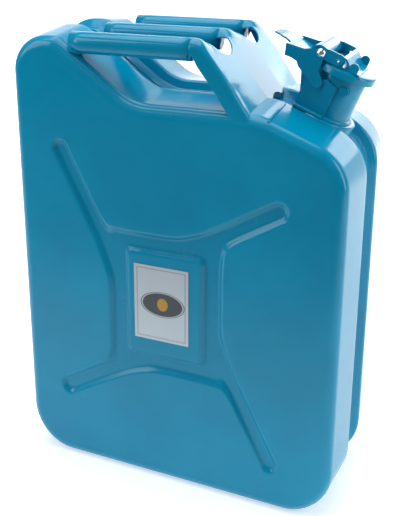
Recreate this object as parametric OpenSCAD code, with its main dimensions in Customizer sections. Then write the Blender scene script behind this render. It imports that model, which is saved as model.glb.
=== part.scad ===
// Twenty-litre pressed steel fuel can with three handle bars and a cam lever closure.
// X runs along the width towards the spout, Y runs to the back, Z is up.
// The origin is the middle of the footprint.

/* [Can body] */
// Width over the rims beside the seam
body_w = 345; // [300:1:400]
// Depth from face to face
body_d = 165; // [140:1:200]
// Height of the air pocket at the top left
body_h = 463; // [440:1:500]
// Height of the flat floor of the hand recess
recess_h = 405; // [385:1:410]
// Thickness of the sheet steel
sheet_t = 1.2; // [1:0.1:1.6]
// Radius of the lower corners
bottom_r = 52; // [30:1:60]
// Radius of the air pocket corner
top_r = 42; // [25:1:42]
// Radius of the corner below the spout
spout_corner_r = 50; // [25:1:55]
// How far a wall leans in from rim to face
draft = 5; // [2:0.5:8]
// Radius of the pressed edge round each face
face_r = 11; // [6:0.5:14]
// Half the width of the seam channel at its rims
channel_half = 24; // [18:1:30]
// Depth of the seam channel
channel_depth = 9; // [5:0.5:12]

/* [Shoulder and spout] */
// Slope of the shoulder and lean of the spout
shoulder_tilt = 22; // [15:1:26]
// Where the spout axis crosses the shoulder
spout_x = 125; // [115:1:130]
// Height of the shoulder at the spout axis
spout_z = 389; // [380:1:392]
// Outer radius of the neck tube
neck_r = 23; // [20:0.5:24]
// Wall of the neck tube
neck_wall = 1.5; // [1:0.1:2.5]
// Height of the mouth above the shoulder
neck_h = 46; // [40:1:50]

/* [Handle] */
// Radius of each handle bar
bar_r = 10.5; // [8:0.5:12]
// Wall of each handle bar
bar_wall = 1.2; // [1:0.1:2]
// Distance from the middle bar to an outer bar
bar_pitch = 71; // [60:0.5:71]
// Where the bars end and the end plate starts
bar_end_x = 20; // [10:1:30]
// Thickness of the end plate
plate_t = 1.6; // [1.2:0.1:2.5]
// Slope of the end plate
plate_tilt = 51.5; // [45:0.5:58]

/* [Pressed pattern] */
// Depth of the pressed cross on each face
cross_depth = 4; // [2:0.5:6]
// Width of the raised panel inside the cross
panel_w = 82; // [70:1:96]
// Height of the raised panel inside the cross
panel_h = 112; // [90:1:130]
// Width of the label
label_w = 58; // [40:1:70]
// Height of the label
label_h = 80; // [50:1:96]

/* [Closure] */
// Outer radius of the lid
lid_r = 29; // [28:0.5:31]
// Height of the lid skirt and top
lid_h = 8; // [7:0.5:9]
// Half the width over the lever cheeks
lever_half = 26.6; // [25.6:0.1:28]
// Sheet of the lever and strap
lever_t = 1.6; // [1.2:0.1:2]
// Radius of the hinge pin
pin_r = 2.5; // [2:0.1:3]
// Radius of the lever pivot pins
pivot_r = 2.5; // [2:0.1:3]
// Radius of the locking pin
lock_r = 2.2; // [1.5:0.1:2.5]

/* [Hidden] */
$fn = 64;

enamel = [0.02, 0.58, 0.76];
gap = 0.3;               // clearance between pieces that move past each other
seat = 0.05;             // clearance between pieces that rest together
fit = 0.05;              // radial clearance of a running fit
arc_steps = 8;           // steps round each outline corner
fillet_steps = 4;        // steps round the face edge
seam_half = 1;           // half the width of the seam weld
bead_rise = 1.5;         // how far the seam weld stands above the channel floor

// Outline of a rim, anticlockwise, as corners [x, z, radius]; the hand recess is the fifth
tan_s = tan(shoulder_tilt);
recess_slope = 36.5;     // slope from the hand recess up to the air pocket
recess_x = -38;          // foot of that slope
half_w = body_w / 2;
function shoulder_z(x) = spout_z - (x - spout_x) * tan_s;
function shoulder_x(z) = spout_x - (z - spout_z) / tan_s;
pocket_x = recess_x - (body_h - recess_h) / tan(recess_slope);
corners = [
  [-half_w, 0, bottom_r],
  [half_w, 0, bottom_r],
  [half_w, shoulder_z(half_w), spout_corner_r],
  [shoulder_x(recess_h), recess_h, 60],
  [recess_x, recess_h, 45],
  [pocket_x, body_h, 18],
  [-half_w, body_h, top_r]
];

function unit(v) = v / norm(v);
function xz(c) = [c[0], c[1]];
function corner_arc(a, b, c, r) =
  let (d1 = unit(b - a), d2 = unit(c - b),
       turn = atan2(d1[0] * d2[1] - d1[1] * d2[0], d1[0] * d2[0] + d1[1] * d2[1]),
       side = turn > 0 ? 1 : -1,
       start = atan2(-d1[0], d1[1]),
       centre = b - d1 * r * tan(abs(turn) / 2) - side * r * [d1[1], -d1[0]])
  [for (k = [0 : arc_steps])
    let (a = start + turn * k / arc_steps, n = [cos(a), sin(a)])
    [centre + side * r * n, n]];
outline = [for (i = [0 : len(corners) - 1])
  let (n = len(corners), a = corners[(i + n - 1) % n], b = corners[i], c = corners[(i + 1) % n])
  each corner_arc(xz(a), xz(b), xz(c), b[2])];

// Ring of the outline moved in by inset, at depth y; lean is left off along the level bottom
function ring(inset, y, lean) =
  [for (p = outline)
    let (q = p[0] - p[1] * inset) [q[0], y, q[1] + min(p[1][1], 0) * lean]];

// Closed skin through a list of [inset, y, lean] rings; the two ends are flat faces when capped
module loft(rings, closed) {
  n = len(outline);
  m = len(rings);
  points = [for (r = rings) each ring(r[0], r[1], r[2])];
  last = closed ? m - 1 : m - 2;
  sides = [for (j = [0 : last]) for (i = [0 : n - 1])
    let (k = (i + 1) % n, j2 = (j + 1) % m)
    [j * n + i, j * n + k, j2 * n + k, j2 * n + i]];
  caps = closed ? [] : [
    [for (i = [n - 1 : -1 : 0]) i],
    [for (i = [0 : n - 1]) (m - 1) * n + i]];
  polyhedron(points, concat(sides, caps), convexity = 8);
}

// Half shell profile, from the face edge to the seam, as [inset, y, lean], for the front half
face_y = -body_d / 2;
function shell_profile(t) = concat(
  [for (k = [0 : fillet_steps])
    let (a = 90 - 90 * k / fillet_steps)
    [draft + face_r - (face_r - t) * cos(a), face_y + face_r - (face_r - t) * sin(a), draft]],
  [[t, -channel_half - t / 3, 0],
   [3 + t, -channel_half + 4 - t * 0.7, 0],
   [channel_depth + t, -channel_half + 7 - t * 0.7, 0],
   [channel_depth + t, -seam_half, 0]]);
function turned(v) = [for (i = [len(v) - 1 : -1 : 0]) v[i]];

module sheet_shape() {
  outer = shell_profile(0);
  inner = turned(shell_profile(sheet_t));
  loft(concat(outer, inner), false);
}

// Outline of the pressed cross: a block and four arms with round ends
pattern_x = -5;
pattern_z = 200;
cross_w = 122;           // width of the block of the cross
cross_h = 150;           // height of the block of the cross
flat_arm = [[32, 66], [112, 114], 11];      // [start, end, half width] of an upper right arm
steep_arm = [[54, -38], [111, -150], 9.5];  // the same for a lower right arm
module arm(a, grow) {
  d = a[1] - a[0];
  w = a[2] + grow;
  tip = [for (k = [-8 : 8]) [norm(d) + w * cos(k * 11.25), w * sin(k * 11.25)]];
  translate(a[0]) rotate(atan2(d[1], d[0])) polygon(concat([[0, -w]], tip, [[0, w]]));
}
module cross_outline(grow) {
  square([cross_w + 2 * grow, cross_h + 2 * grow], center = true);
  for (turn = [0, 180]) rotate(turn) {
    arm(flat_arm, grow);
    arm(steep_arm, grow);
  }
}
module panel_outline(grow) {
  square([panel_w + 2 * grow, panel_h + 2 * grow], center = true);
}
// Stands a flat outline up in the XZ plane, from depth y for a length t towards the back
module upright(y, t) {
  translate([0, y + t, 0]) rotate([90, 0, 0]) linear_extrude(t) children();
}
module on_pattern() {
  translate([pattern_x, 0, pattern_z]) children();
}

// Frame of the spout: X down the shoulder, Z up the neck
module on_spout() {
  translate([spout_x, 0, spout_z]) rotate([0, shoulder_tilt, 0]) children();
}

collar_r = 30;
collar_low = -channel_depth - 4;
collar_top = 1;

module half_shell() {
  difference() {
    union() {
      difference() {
        sheet_shape();
        on_pattern() upright(face_y - 1, 2 + sheet_t) cross_outline(0);
      }
      on_pattern() upright(face_y, cross_depth + sheet_t) difference() {
        cross_outline(sheet_t);
        panel_outline(-sheet_t);
      }
      on_pattern() upright(face_y, sheet_t) panel_outline(0);
    }
    on_pattern() upright(face_y - 1, 1 + cross_depth) difference() {
      cross_outline(0);
      panel_outline(0);
    }
    on_spout() translate([0, 0, collar_low - 30]) cylinder(r = collar_r + seat, h = 70);
  }
}

module front_shell() {
  color(enamel) half_shell();
}

module rear_shell() {
  color(enamel) mirror([0, 1, 0]) half_shell();
}

module seam_weld() {
  low = channel_depth + sheet_t;
  high = channel_depth - bead_rise;
  color(enamel) difference() {
    loft([[low, -seam_half + seat, 0], [high, -seam_half + seat, 0],
          [high, seam_half - seat, 0], [low, seam_half - seat, 0]], true);
    on_spout() translate([0, 0, collar_low - 30]) cylinder(r = collar_r + seat, h = 70);
  }
}

// Handle bars: tubes whose left ends are cut to the slope of the air pocket
bar_z = body_h - bar_r;
bar_left_x = pocket_x + 15;
module slope_cut(inset) {
  translate([recess_x, 0, recess_h]) rotate([0, recess_slope, 0])
    translate([-300, -body_d, -300 - inset]) cube([600, 2 * body_d, 300]);
}
module handle_bar(y, inset) {
  length = bar_end_x - bar_left_x;
  difference() {
    translate([bar_left_x, y, bar_z]) rotate([0, 90, 0]) difference() {
      cylinder(r = bar_r, h = length);
      translate([0, 0, -1]) cylinder(r = bar_r - bar_wall, h = length + 2);
    }
    slope_cut(inset - seat);
  }
}
outer_bar_inset = draft * (bar_pitch - bar_r - channel_half) / (body_d / 2 - face_r - channel_half);

module front_handle_bar() {
  color(enamel) handle_bar(-bar_pitch, outer_bar_inset);
}

module middle_handle_bar() {
  color(enamel) handle_bar(0, channel_depth - bead_rise);
}

module rear_handle_bar() {
  color(enamel) handle_bar(bar_pitch, outer_bar_inset);
}

// End plate: a sheet that bends down from the bars to the shoulder, with two feet
plate_half = bar_pitch + bar_r;
plate_left = bar_end_x + seat;
plate_bend_r = 14;
plate_bend_x = plate_left + 2.5;
plate_bend_z = body_h - plate_bend_r;
foot_x = 80;
foot_z = body_h - plate_bend_r * (1 - cos(plate_tilt))
  - (foot_x - plate_bend_x - plate_bend_r * sin(plate_tilt)) * tan(plate_tilt);
foot_length = 13;
foot_half_gap = 28;      // half the clear width over the seam channel
saddle_r = 24;           // saddle cut between two bars
saddle_rise = 6;         // height of its centre above the bars
arch_r = 26;             // arch over the seam channel
arch_drop = 18;          // depth of its centre below the foot

// Area under the sheet, from the bars to the foot, moved in by t from its outer face
module under_plate(t) {
  along = [cos(plate_tilt), -sin(plate_tilt)];
  out = [sin(plate_tilt), cos(plate_tilt)];
  centre = [plate_bend_x, plate_bend_z];
  fold = centre + (plate_bend_r - t) * out;
  end = fold + along * 90;
  translate(centre) intersection() {
    circle(r = plate_bend_r - t);
    square(plate_bend_r);
  }
  translate([plate_left, foot_z - 30])
    square([plate_bend_x - plate_left + 0.01, body_h - t - foot_z + 30]);
  polygon([[plate_bend_x, foot_z - 30], centre, fold, end, [end[0], foot_z - 30]]);
}

// Front half of the can as a solid, grown outwards by t
module half_solid(t) {
  loft(shell_profile(-t), false);
}

// Front half of the plate: sheet, side flange and foot
module half_plate() {
  difference() {
    union() {
      upright(-plate_half, plate_half + seam_half) difference() {
        under_plate(0);
        under_plate(plate_t);
      }
      upright(-plate_half, plate_t) difference() {
        under_plate(0);
        polygon([[plate_left - 1, bar_z - bar_r + 2], [plate_left + 5, bar_z - bar_r + 1.6],
                 [plate_left + 35, recess_h - 8], [plate_left + 35, foot_z - 40],
                 [plate_left - 1, foot_z - 40]]);
      }
    }
    half_solid(seat);
    translate([plate_left - 1, -bar_pitch / 2, body_h + saddle_rise])
      rotate([0, 90, 0]) cylinder(r = saddle_r, h = 70);
    translate([foot_x - 40, 0, foot_z - arch_drop])
      rotate([0, 90, 0]) cylinder(r = arch_r, h = 80);
    translate([foot_x + 6, -body_d, recess_h - 60]) cube([60, 2 * body_d, 100]);
  }
  foot_strip(foot_x - 4, foot_length + 4, plate_t);
}
// Strip that lies on the shoulder from x for a length along it
module foot_strip(x, length, t) {
  difference() {
    intersection() {
      translate([x, -plate_half + 4, recess_h - 60])
        cube([length, plate_half - 4 - foot_half_gap, 100]);
      half_solid(seat + t);
    }
    half_solid(seat);
  }
}
module handle_end_plate() {
  color(enamel) for (side = [0, 1]) mirror([0, side, 0]) half_plate();
}

// Weld beads along the lower edge of each foot
bead_leg = 2.2;
module handle_weld_beads() {
  color(enamel) for (side = [0, 1]) mirror([0, side, 0])
    foot_strip(foot_x + foot_length + seat, bead_leg, plate_t * 0.7);
}

// Collar: a pressed ring that carries the neck across the seam channel
module neck_collar() {
  color(enamel) on_spout() rotate_extrude()
    polygon([[neck_r + seat, collar_top], [neck_r + seat, collar_top - 2],
             [collar_r - 2, collar_top - 2], [collar_r - 2, collar_low],
             [collar_r, collar_low], [collar_r, collar_top - 1], [collar_r - 1, collar_top]]);
}

neck_low = collar_low - 3;
lip_r = neck_r + 2;
module neck_tube() {
  bore = neck_r - neck_wall;
  color(enamel) on_spout() rotate_extrude()
    polygon([[bore, neck_low], [neck_r, neck_low], [neck_r, neck_h - 4],
             [lip_r, neck_h - 3], [lip_r, neck_h - 0.6], [lip_r - 0.6, neck_h],
             [bore + 0.5, neck_h], [bore, neck_h - 0.5]]);
}

module neck_weld_bead() {
  leg = 3;
  color(enamel) on_spout() translate([0, 0, collar_top + seat]) rotate_extrude()
    polygon([[neck_r + seat, 0], [neck_r + leg, 0], [neck_r + leg * 0.8, leg * 0.5],
             [neck_r + seat, leg]]);
}

// Two round studs on the neck, for the hooks of a pouring spout
stud_u = 10;
stud_w = 32;
stud_r = 4;
module spout_studs() {
  color(enamel) on_spout() difference() {
    for (side = [-1, 1]) translate([stud_u, 0, stud_w]) rotate([side * 90, 0, 0])
      cylinder(r = stud_r, h = neck_r + 0.5);
    cylinder(r = neck_r + seat, h = 60);
  }
}

// Breather tube: from the mouth down the neck and along under the recess to the air pocket
breather_r = 4;
breather_wall = 0.8;
breather_u = -(neck_r - neck_wall - breather_r - 0.1);
function from_spout(u, w) = [spout_x + u * cos(shoulder_tilt) + w * sin(shoulder_tilt), 0,
                             spout_z - u * sin(shoulder_tilt) + w * cos(shoulder_tilt)];
breather_path = [
  from_spout(breather_u, neck_h - 8),
  from_spout(breather_u, -22),
  [-56, 0, recess_h - channel_depth - 16],
  [pocket_x - 18, 0, body_h - channel_depth - 10]
];
// Tube along a path in the XZ plane, mitred at each bend
tube_sides = 24;
function mitre(path, i) =
  let (a = unit(path[min(i + 1, len(path) - 1)] - path[min(i, len(path) - 2)]),
       b = unit(path[max(i, 1)] - path[max(i - 1, 0)]),
       m = unit([-(a[2] + b[2]), 0, a[0] + b[0]]))
  m / (m * [-a[2], 0, a[0]]);
function path_ring(path, i, r) =
  [for (k = [0 : tube_sides - 1])
    let (a = 360 * k / tube_sides)
    path[i] + r * (cos(a) * mitre(path, i) + [0, sin(a), 0])];
module path_tube(path, outer, inner) {
  m = len(path);
  order = concat([for (i = [0 : m - 1]) [i, outer]], [for (i = [m - 1 : -1 : 0]) [i, inner]]);
  points = [for (o = order) each path_ring(path, o[0], o[1])];
  polyhedron(points, [for (j = [0 : 2 * m - 1]) for (k = [0 : tube_sides - 1])
    let (k2 = (k + 1) % tube_sides, j2 = (j + 1) % (2 * m))
    [j * tube_sides + k, j * tube_sides + k2, j2 * tube_sides + k2, j2 * tube_sides + k]],
    convexity = 6);
}
module breather_tube() {
  color("silver") path_tube(breather_path, breather_r, breather_r - breather_wall);
}

// Places in the spout frame: the lid hinge, the lever pivot and the locking pin
hinge_u = -(lid_r + 4);
hinge_w = neck_h - 4;
pivot_u = -5.7;
lid_low = neck_h - 3.5;
lid_top = lid_low + lid_h;
pivot_w = lid_top + 6;
lock_u = -23;
lock_w = pivot_w - 1;

// Bracket: side plates on the neck, a back plate and two lugs for the hinge pin
bracket_t = 1.6;
bracket_right = 3;
bracket_top = 35;
bracket_back = -26.5;
lug_y = 17;
lug_r = 5;
cheek_in = lever_half - lever_t;
bracket_out = cheek_in - gap;
module hinge_bracket() {
  base = collar_top + seat;
  color(enamel) on_spout() difference() {
    union() {
      for (side = [0, 1]) mirror([0, side, 0]) {
        upright(-bracket_out, bracket_t) polygon([[bracket_back, base], [bracket_right, base],
          [bracket_right, bracket_top - 2], [-8, bracket_top + 1], [bracket_back, 27]]);
        upright(-lug_y - bracket_t, 2 * bracket_t) union() {
          polygon([[bracket_back, 12], [bracket_back, hinge_w + 1], [hinge_u, hinge_w + lug_r],
                   [hinge_u - lug_r, hinge_w]]);
          translate([hinge_u, hinge_w]) circle(r = lug_r);
        }
      }
      translate([bracket_back, -bracket_out, base]) cube([bracket_t, 2 * bracket_out, 30]);
    }
    translate([0, 0, -1]) cylinder(r = neck_r + seat, h = neck_h + 10);
    translate([0, 0, base - 0.1]) cylinder(r = neck_r + 3 + seat, h = 3.3);
    translate([hinge_u, 40, hinge_w]) rotate([90, 0, 0]) cylinder(r = pin_r + fit, h = 80);
    translate([0, 0, lid_low - gap]) cylinder(r = lid_r + gap, h = lid_h + 20);
  }
}

module hinge_pin() {
  half = lug_y + bracket_t + 2.4;
  color("silver") on_spout() translate([hinge_u, half, hinge_w]) rotate([90, 0, 0]) {
    cylinder(r = pin_r, h = 2 * half);
    for (end = [0, 2 * half - 2]) translate([0, 0, end]) cylinder(r = pin_r + 1.3, h = 2);
  }
}

module maker_label() {
  color([0.72, 0.76, 0.8]) on_pattern() upright(face_y - 0.35, 0.3)
    translate([-3, 2]) square([label_w, label_h], center = true);
}

lid_sheet = 1.3;
module lid() {
  color(enamel) on_spout() rotate_extrude()
    polygon([[0, lid_top], [lid_r - 3, lid_top], [lid_r - 0.9, lid_top - 0.9],
             [lid_r, lid_top - 3], [lid_r, lid_low], [lid_r - lid_sheet, lid_low],
             [lid_r - lid_sheet, lid_top - 2.6], [lid_r - 2.6, lid_top - lid_sheet],
             [0, lid_top - lid_sheet]]);
}

module lid_gasket() {
  top = lid_top - lid_sheet - seat;
  low = neck_h + gap;
  color([0.1, 0.1, 0.1]) on_spout() rotate_extrude()
    polygon([[18, low], [lid_r - 3.4, low], [lid_r - 3.4, top], [18, top]]);
}

// Strap: hinge eyes, a plate on the lid, lugs for the pivot and two upstanding ears
strap_out = cheek_in - gap;
ear_u = 9.5;
ear_r = 4.2;
module strap_profile() {
  low = lid_top + seat;
  top = low + lever_t;
  back = -lid_r - gap;
  // hinge arm, lid plate and the slope up to the pivot
  polygon([[back, hinge_w], [back - 1.9, hinge_w], [back - 1.9, top - 2.2], [back, top],
           [16, top], [16, low], [back + 2.8, low], [back + 0.7, low - 0.65], [back, low - 2.2]]);
  polygon([[8, low], [9, top], [1, pivot_w + 3.4], [-3, pivot_w + 4.6], [-3, pivot_w + 3],
           [0, pivot_w + 2.2]]);
}
module lid_strap() {
  low = lid_top + seat;
  arm_half = lug_y - bracket_t - gap;
  color(enamel) on_spout() difference() {
    union() {
      upright(-strap_out, 2 * strap_out) intersection() {
        strap_profile();
        translate([-24, low]) square([60, 40]);
      }
      upright(-arm_half, 2 * arm_half) intersection() {
        strap_profile();
        translate([-60, 0]) square([40, 80]);
      }
      upright(-arm_half, 2 * arm_half) translate([hinge_u, hinge_w]) circle(r = pin_r + 1.3);
      for (side = [0, 1]) mirror([0, side, 0]) upright(-strap_out, lever_t) {
        translate([pivot_u, pivot_w]) circle(r = 5);
        translate([pivot_u - 5, low]) square([10, pivot_w - low]);
        translate([ear_u, lid_top + ear_r + 1]) circle(r = ear_r);
        translate([ear_u - ear_r, low]) square([2 * ear_r, ear_r + 1]);
      }
    }
    translate([hinge_u, 40, hinge_w]) rotate([90, 0, 0]) cylinder(r = pin_r + fit, h = 80);
    translate([pivot_u, 40, pivot_w]) rotate([90, 0, 0]) cylinder(r = pivot_r + fit, h = 80);
  }
}

// Lever: two cheeks, a trough between them, a finger tab and a curved bridge
tab_end_u = -74;
module cheek_outline() {
  translate([pivot_u, pivot_w]) circle(r = 5.6);
  polygon([
    [-55.5, 50.5], [-53.4, 43.7], [-52.6, 39.9], [-46, 40.4], [-40, 39.5], [-37, 36],
    [-16.5, 24.5], [-11, 26], [-10.5, 32], [-14.5, 36.5], [-18.5, 40], [-18.5, lid_top + 1.4],
    [pivot_u - 1, pivot_w - 5.6], [pivot_u + 1.6, pivot_w + 5.4], [-15, pivot_w + 5.6],
    [-24, pivot_w + 4.4], [-38, 52.8]]);
}
module trough_outline() {
  // web between the cheeks and the finger tab beyond them
  polygon([[-52, 47], [-53.5, 48.4], [-60, 50.4], [-68, 50.8], [-73, 49.8], [tab_end_u, 48],
           [tab_end_u - 0.6, 49.6], [-73.2, 51.4], [-68, 52.4], [-60, 52.1], [-52.6, 50],
           [-51.4, 48.8], [-38, 47.2], [-38, 45.6]]);
}
module lever() {
  bridge_r = 9;
  color(enamel) on_spout() difference() {
    union() {
      for (side = [0, 1]) mirror([0, side, 0]) upright(-lever_half, lever_t) cheek_outline();
      intersection() {
        upright(-lever_half, 2 * lever_half) trough_outline();
        union() {
          translate([-54, -lever_half, 0]) cube([30, 2 * lever_half, 80]);
          translate([tab_end_u + 13, 0, 0]) cylinder(r = 14, h = 80);
          translate([tab_end_u + 13, -14, 0]) cube([12, 28, 80]);
        }
      }
      upright(-lever_half, 2 * lever_half) translate([lock_u - 1, lock_w - 2]) difference() {
        circle(r = bridge_r);
        circle(r = bridge_r - lever_t);
        translate([-20, -20]) square([40, 22]);
      }
    }
    translate([pivot_u, 40, pivot_w]) rotate([90, 0, 0]) cylinder(r = pivot_r + fit, h = 80);
    translate([lock_u, 40, lock_w]) rotate([90, 0, 0]) cylinder(r = lock_r + fit, h = 80);
  }
}

// Two hollow rivets that join the lever to the strap
module lever_pivot_pins() {
  head = 1.2;
  low = strap_out - lever_t - head - seat;
  high = lever_half + seat + head;
  color(enamel) on_spout() for (side = [-1, 1])
    translate([pivot_u, side * low, pivot_w]) rotate([side * -90, 0, 0]) difference() {
      union() {
        cylinder(r = pivot_r, h = high - low);
        cylinder(r = pivot_r + 1.4, h = head);
        translate([0, 0, high - low - head]) cylinder(r = pivot_r + 1.8, h = head);
      }
      translate([0, 0, -1]) cylinder(r = pivot_r - 1.1, h = high - low + 2);
    }
}

module locking_pin() {
  half = lever_half + 1.5;
  color("silver") on_spout() translate([lock_u, 0, lock_w]) {
    translate([0, half, 0]) rotate([90, 0, 0]) cylinder(r = lock_r, h = 2 * half);
    intersection() {
      translate([0, -lever_half + 2.5, 0]) sphere(r = 5);
      translate([-5, -lever_half - seat - 3, -5]) cube([10, 3, 10]);
    }
  }
}

front_shell();
rear_shell();
seam_weld();
front_handle_bar();
middle_handle_bar();
rear_handle_bar();
handle_end_plate();
handle_weld_beads();
neck_collar();
neck_tube();
neck_weld_bead();
spout_studs();
breather_tube();
hinge_bracket();
hinge_pin();
maker_label();
lid();
lid_gasket();
lid_strap();
lever();
lever_pivot_pins();
locking_pin();
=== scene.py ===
import math

import bmesh
import bpy
import numpy as np
from bpy.props import FloatProperty, FloatVectorProperty, PointerProperty
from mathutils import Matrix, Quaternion, Vector


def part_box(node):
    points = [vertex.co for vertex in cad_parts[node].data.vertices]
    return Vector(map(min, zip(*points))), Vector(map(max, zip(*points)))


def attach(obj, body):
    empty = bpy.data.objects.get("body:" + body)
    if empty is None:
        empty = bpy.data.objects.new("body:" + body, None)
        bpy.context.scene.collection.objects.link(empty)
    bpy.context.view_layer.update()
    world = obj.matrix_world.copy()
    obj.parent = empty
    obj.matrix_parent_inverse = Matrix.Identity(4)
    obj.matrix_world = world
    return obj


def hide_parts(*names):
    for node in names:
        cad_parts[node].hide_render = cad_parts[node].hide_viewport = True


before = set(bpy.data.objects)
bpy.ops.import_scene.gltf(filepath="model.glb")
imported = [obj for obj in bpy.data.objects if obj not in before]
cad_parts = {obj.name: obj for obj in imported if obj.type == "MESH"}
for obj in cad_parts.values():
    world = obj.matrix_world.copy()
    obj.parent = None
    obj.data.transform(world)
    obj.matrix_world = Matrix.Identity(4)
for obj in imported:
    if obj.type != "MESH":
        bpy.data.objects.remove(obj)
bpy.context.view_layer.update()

bl_info = {
    "name": "Pressed Steel Fuel Can",
    "version": (1, 0, 0),
    "blender": (4, 5, 0),
    "location": "View3D > Sidebar > Fuel Can",
    "description": "Smooth pressed shells, welds and enamel for a fuel can on its packed frame",
    "category": "Object",
}

# Sizes that belong to the sheet metal work and aren't meant to be changed, in metres.
NECK_CLEAR = 0.0285
SHEET = 0.0015
SADDLE_RADIUS, SADDLE_RISE = 0.024, 0.006
ARCH_RADIUS, ARCH_DROP = 0.026, 0.0225
BEAD_RISE, BEAD_HALF = 0.0016, 0.0009
BAR_SIDES, BAR_RINGS = 56, 12
FACE_LIMIT = 199000
VIEW_TARGET = (-0.02876, 0.0, 0.31043)
VIEW_SHIFT = (0.0477, -0.1637)

SHELL_LOW, SHELL_HIGH = (np.array(corner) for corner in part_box("front_shell"))


# ---------------------------------------------------------------- sizes a user may change

def length(name, description, default):
    """A length in metres, shown in the scene's own unit."""
    return FloatProperty(name=name, description=description, default=default, unit="LENGTH",
                         precision=4, min=0.0)


def degrees(name, description, default):
    """An angle, given in degrees and kept in radians."""
    return FloatProperty(name=name, description=description, default=math.radians(default),
                         subtype="ANGLE")


def colour(name, description, default):
    """A linear red, green and blue colour."""
    return FloatVectorProperty(name=name, description=description, default=default, size=3,
                               subtype="COLOR", min=0.0, max=1.0)


class CanShape(bpy.types.PropertyGroup):
    """Sizes of the two pressed half shells."""

    width: length("Width", "Width over the rims", float(SHELL_HIGH[0] - SHELL_LOW[0]))
    half_depth: length("Half depth", "From the seam plane to a face", float(-SHELL_LOW[1]))
    height: length("Height", "Height of the air pocket", float(SHELL_HIGH[2]))
    recess_height: length("Recess height", "Height of the hand recess", 0.405)
    recess_foot: FloatProperty(name="Recess foot", description="Where the recess meets its slope",
                               default=-0.038, unit="LENGTH", precision=4)
    recess_slope: degrees("Recess slope", "Slope up to the air pocket", 36.5)
    shoulder_tilt: degrees("Shoulder tilt", "Slope of the shoulder", 22.0)
    spout_x: length("Spout place", "Where the spout axis meets the shoulder", 0.125)
    spout_z: length("Spout height", "Height of the shoulder at the spout", 0.389)
    bottom_radius: length("Bottom radius", "Radius of the lower corners", 0.052)
    top_radius: length("Top radius", "Radius of the air pocket corner", 0.042)
    spout_radius: length("Spout corner", "Radius of the corner below the spout", 0.050)
    draft: length("Draft", "How far a wall leans in from rim to face", 0.005)
    face_radius: length("Face edge", "Radius of the pressed edge round a face", 0.011)
    channel_half: length("Channel half", "Half the width of the seam channel", 0.024)
    channel_depth: length("Channel depth", "Depth of the seam channel", 0.009)
    press_depth: length("Press depth", "Depth of the pressed cross", 0.004)
    press_blend: length("Press blend", "Width of the soft edge of the pressed cross", 0.0065)


class HandleShape(bpy.types.PropertyGroup):
    """Sizes of the bars and their welds."""

    bar_radius: length("Bar radius", "Radius of a handle bar", 0.0105)
    bar_pitch: length("Bar pitch", "From the middle bar to an outer bar", 0.071)
    bar_end: length("Bar end", "Where the bars meet the end plate", 0.020)
    plate_tilt: degrees("Plate slope", "Slope of the end plate", 51.5)
    plate_foot: length("Plate foot", "Where the plate turns out along the shoulder", 0.0785)
    foot_length: length("Foot length", "Length of a foot along the shoulder", 0.0055)
    flange_width: length("Flange width", "Width of the folded sides of the plate", 0.0155)
    weld_radius: length("Weld radius", "Radius of a weld bead", 0.0016)
    edge_round: length("Edge rounding", "Rounding of cut sheet edges", 0.00045)


class FinishColours(bpy.types.PropertyGroup):
    """Colours of the finishes."""

    enamel: colour("Enamel", "Blue enamel", (0.0, 0.262, 0.452))
    # Deep enamel is also the colour of the painted shade in the pressed cross and the seam
    # channel.
    deep_enamel_and_shade: colour("Deep enamel", "Enamel where the coat is thick", (0.0, 0.228, 0.405))
    enamel_pale: colour("Pale enamel", "Enamel where the coat is thin", (0.0, 0.292, 0.490))
    primer: colour("Chip", "What shows in a small chip", (0.10, 0.12, 0.13))
    foil: colour("Foil", "Label foil", (0.46, 0.53, 0.58))
    bright: colour("Bright steel", "Bare steel of the locking pin", (0.80, 0.81, 0.82))
    zinc: colour("Zinc", "Zinc plate of the hinge pin and breather", (0.58, 0.59, 0.58))
    rubber: colour("Rubber", "Gasket rubber", (0.018, 0.018, 0.019))
    floor: colour("Floor", "Pale floor and backdrop", (0.86, 0.87, 0.88))


class StageSettings(bpy.types.PropertyGroup):
    """Camera and light."""

    azimuth: degrees("Azimuth", "Camera angle round the can", 23.93)
    elevation: degrees("Elevation", "Camera angle above the horizon", 17.54)
    roll: degrees("Roll", "Camera roll", -0.24)
    distance: length("Distance", "From the camera to its target", 0.85266)
    lens: FloatProperty(name="Lens", description="Focal length in millimetres", default=57.31,
                        unit="CAMERA")
    light: FloatProperty(name="Light", description="Strength of every lamp together", default=1.0,
                         min=0.0)


# ---------------------------------------------------------------- shader maths

class Value:
    """A socket that can be used in plain arithmetic; each operation adds one Math node."""

    def __init__(self, finish, socket):
        self.finish = finish
        self.socket = socket

    def maths(self, operation, first, second=None):
        inputs = {0: first} if second is None else {0: first, 1: second}
        return self.finish.add("ShaderNodeMath", {"operation": operation}, inputs)

    def __add__(self, other):
        return self.maths("ADD", self, other)

    __radd__ = __add__

    def __sub__(self, other):
        return self.maths("SUBTRACT", self, other)

    def __rsub__(self, other):
        return self.maths("SUBTRACT", other, self)

    def __mul__(self, other):
        return self.maths("MULTIPLY", self, other)

    __rmul__ = __mul__

    def __truediv__(self, other):
        return self.maths("DIVIDE", self, other)

    def __abs__(self):
        return self.maths("ABSOLUTE", self)

    def highest(self, other):
        """The larger of the two."""
        return self.maths("MAXIMUM", self, other)

    def step(self, low, high):
        """0 below low, 1 above high, smooth between."""
        return self.finish.add(
            "ShaderNodeMapRange", {"interpolation_type": "SMOOTHSTEP"},
            {"Value": self, "From Min": low, "From Max": high})


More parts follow.
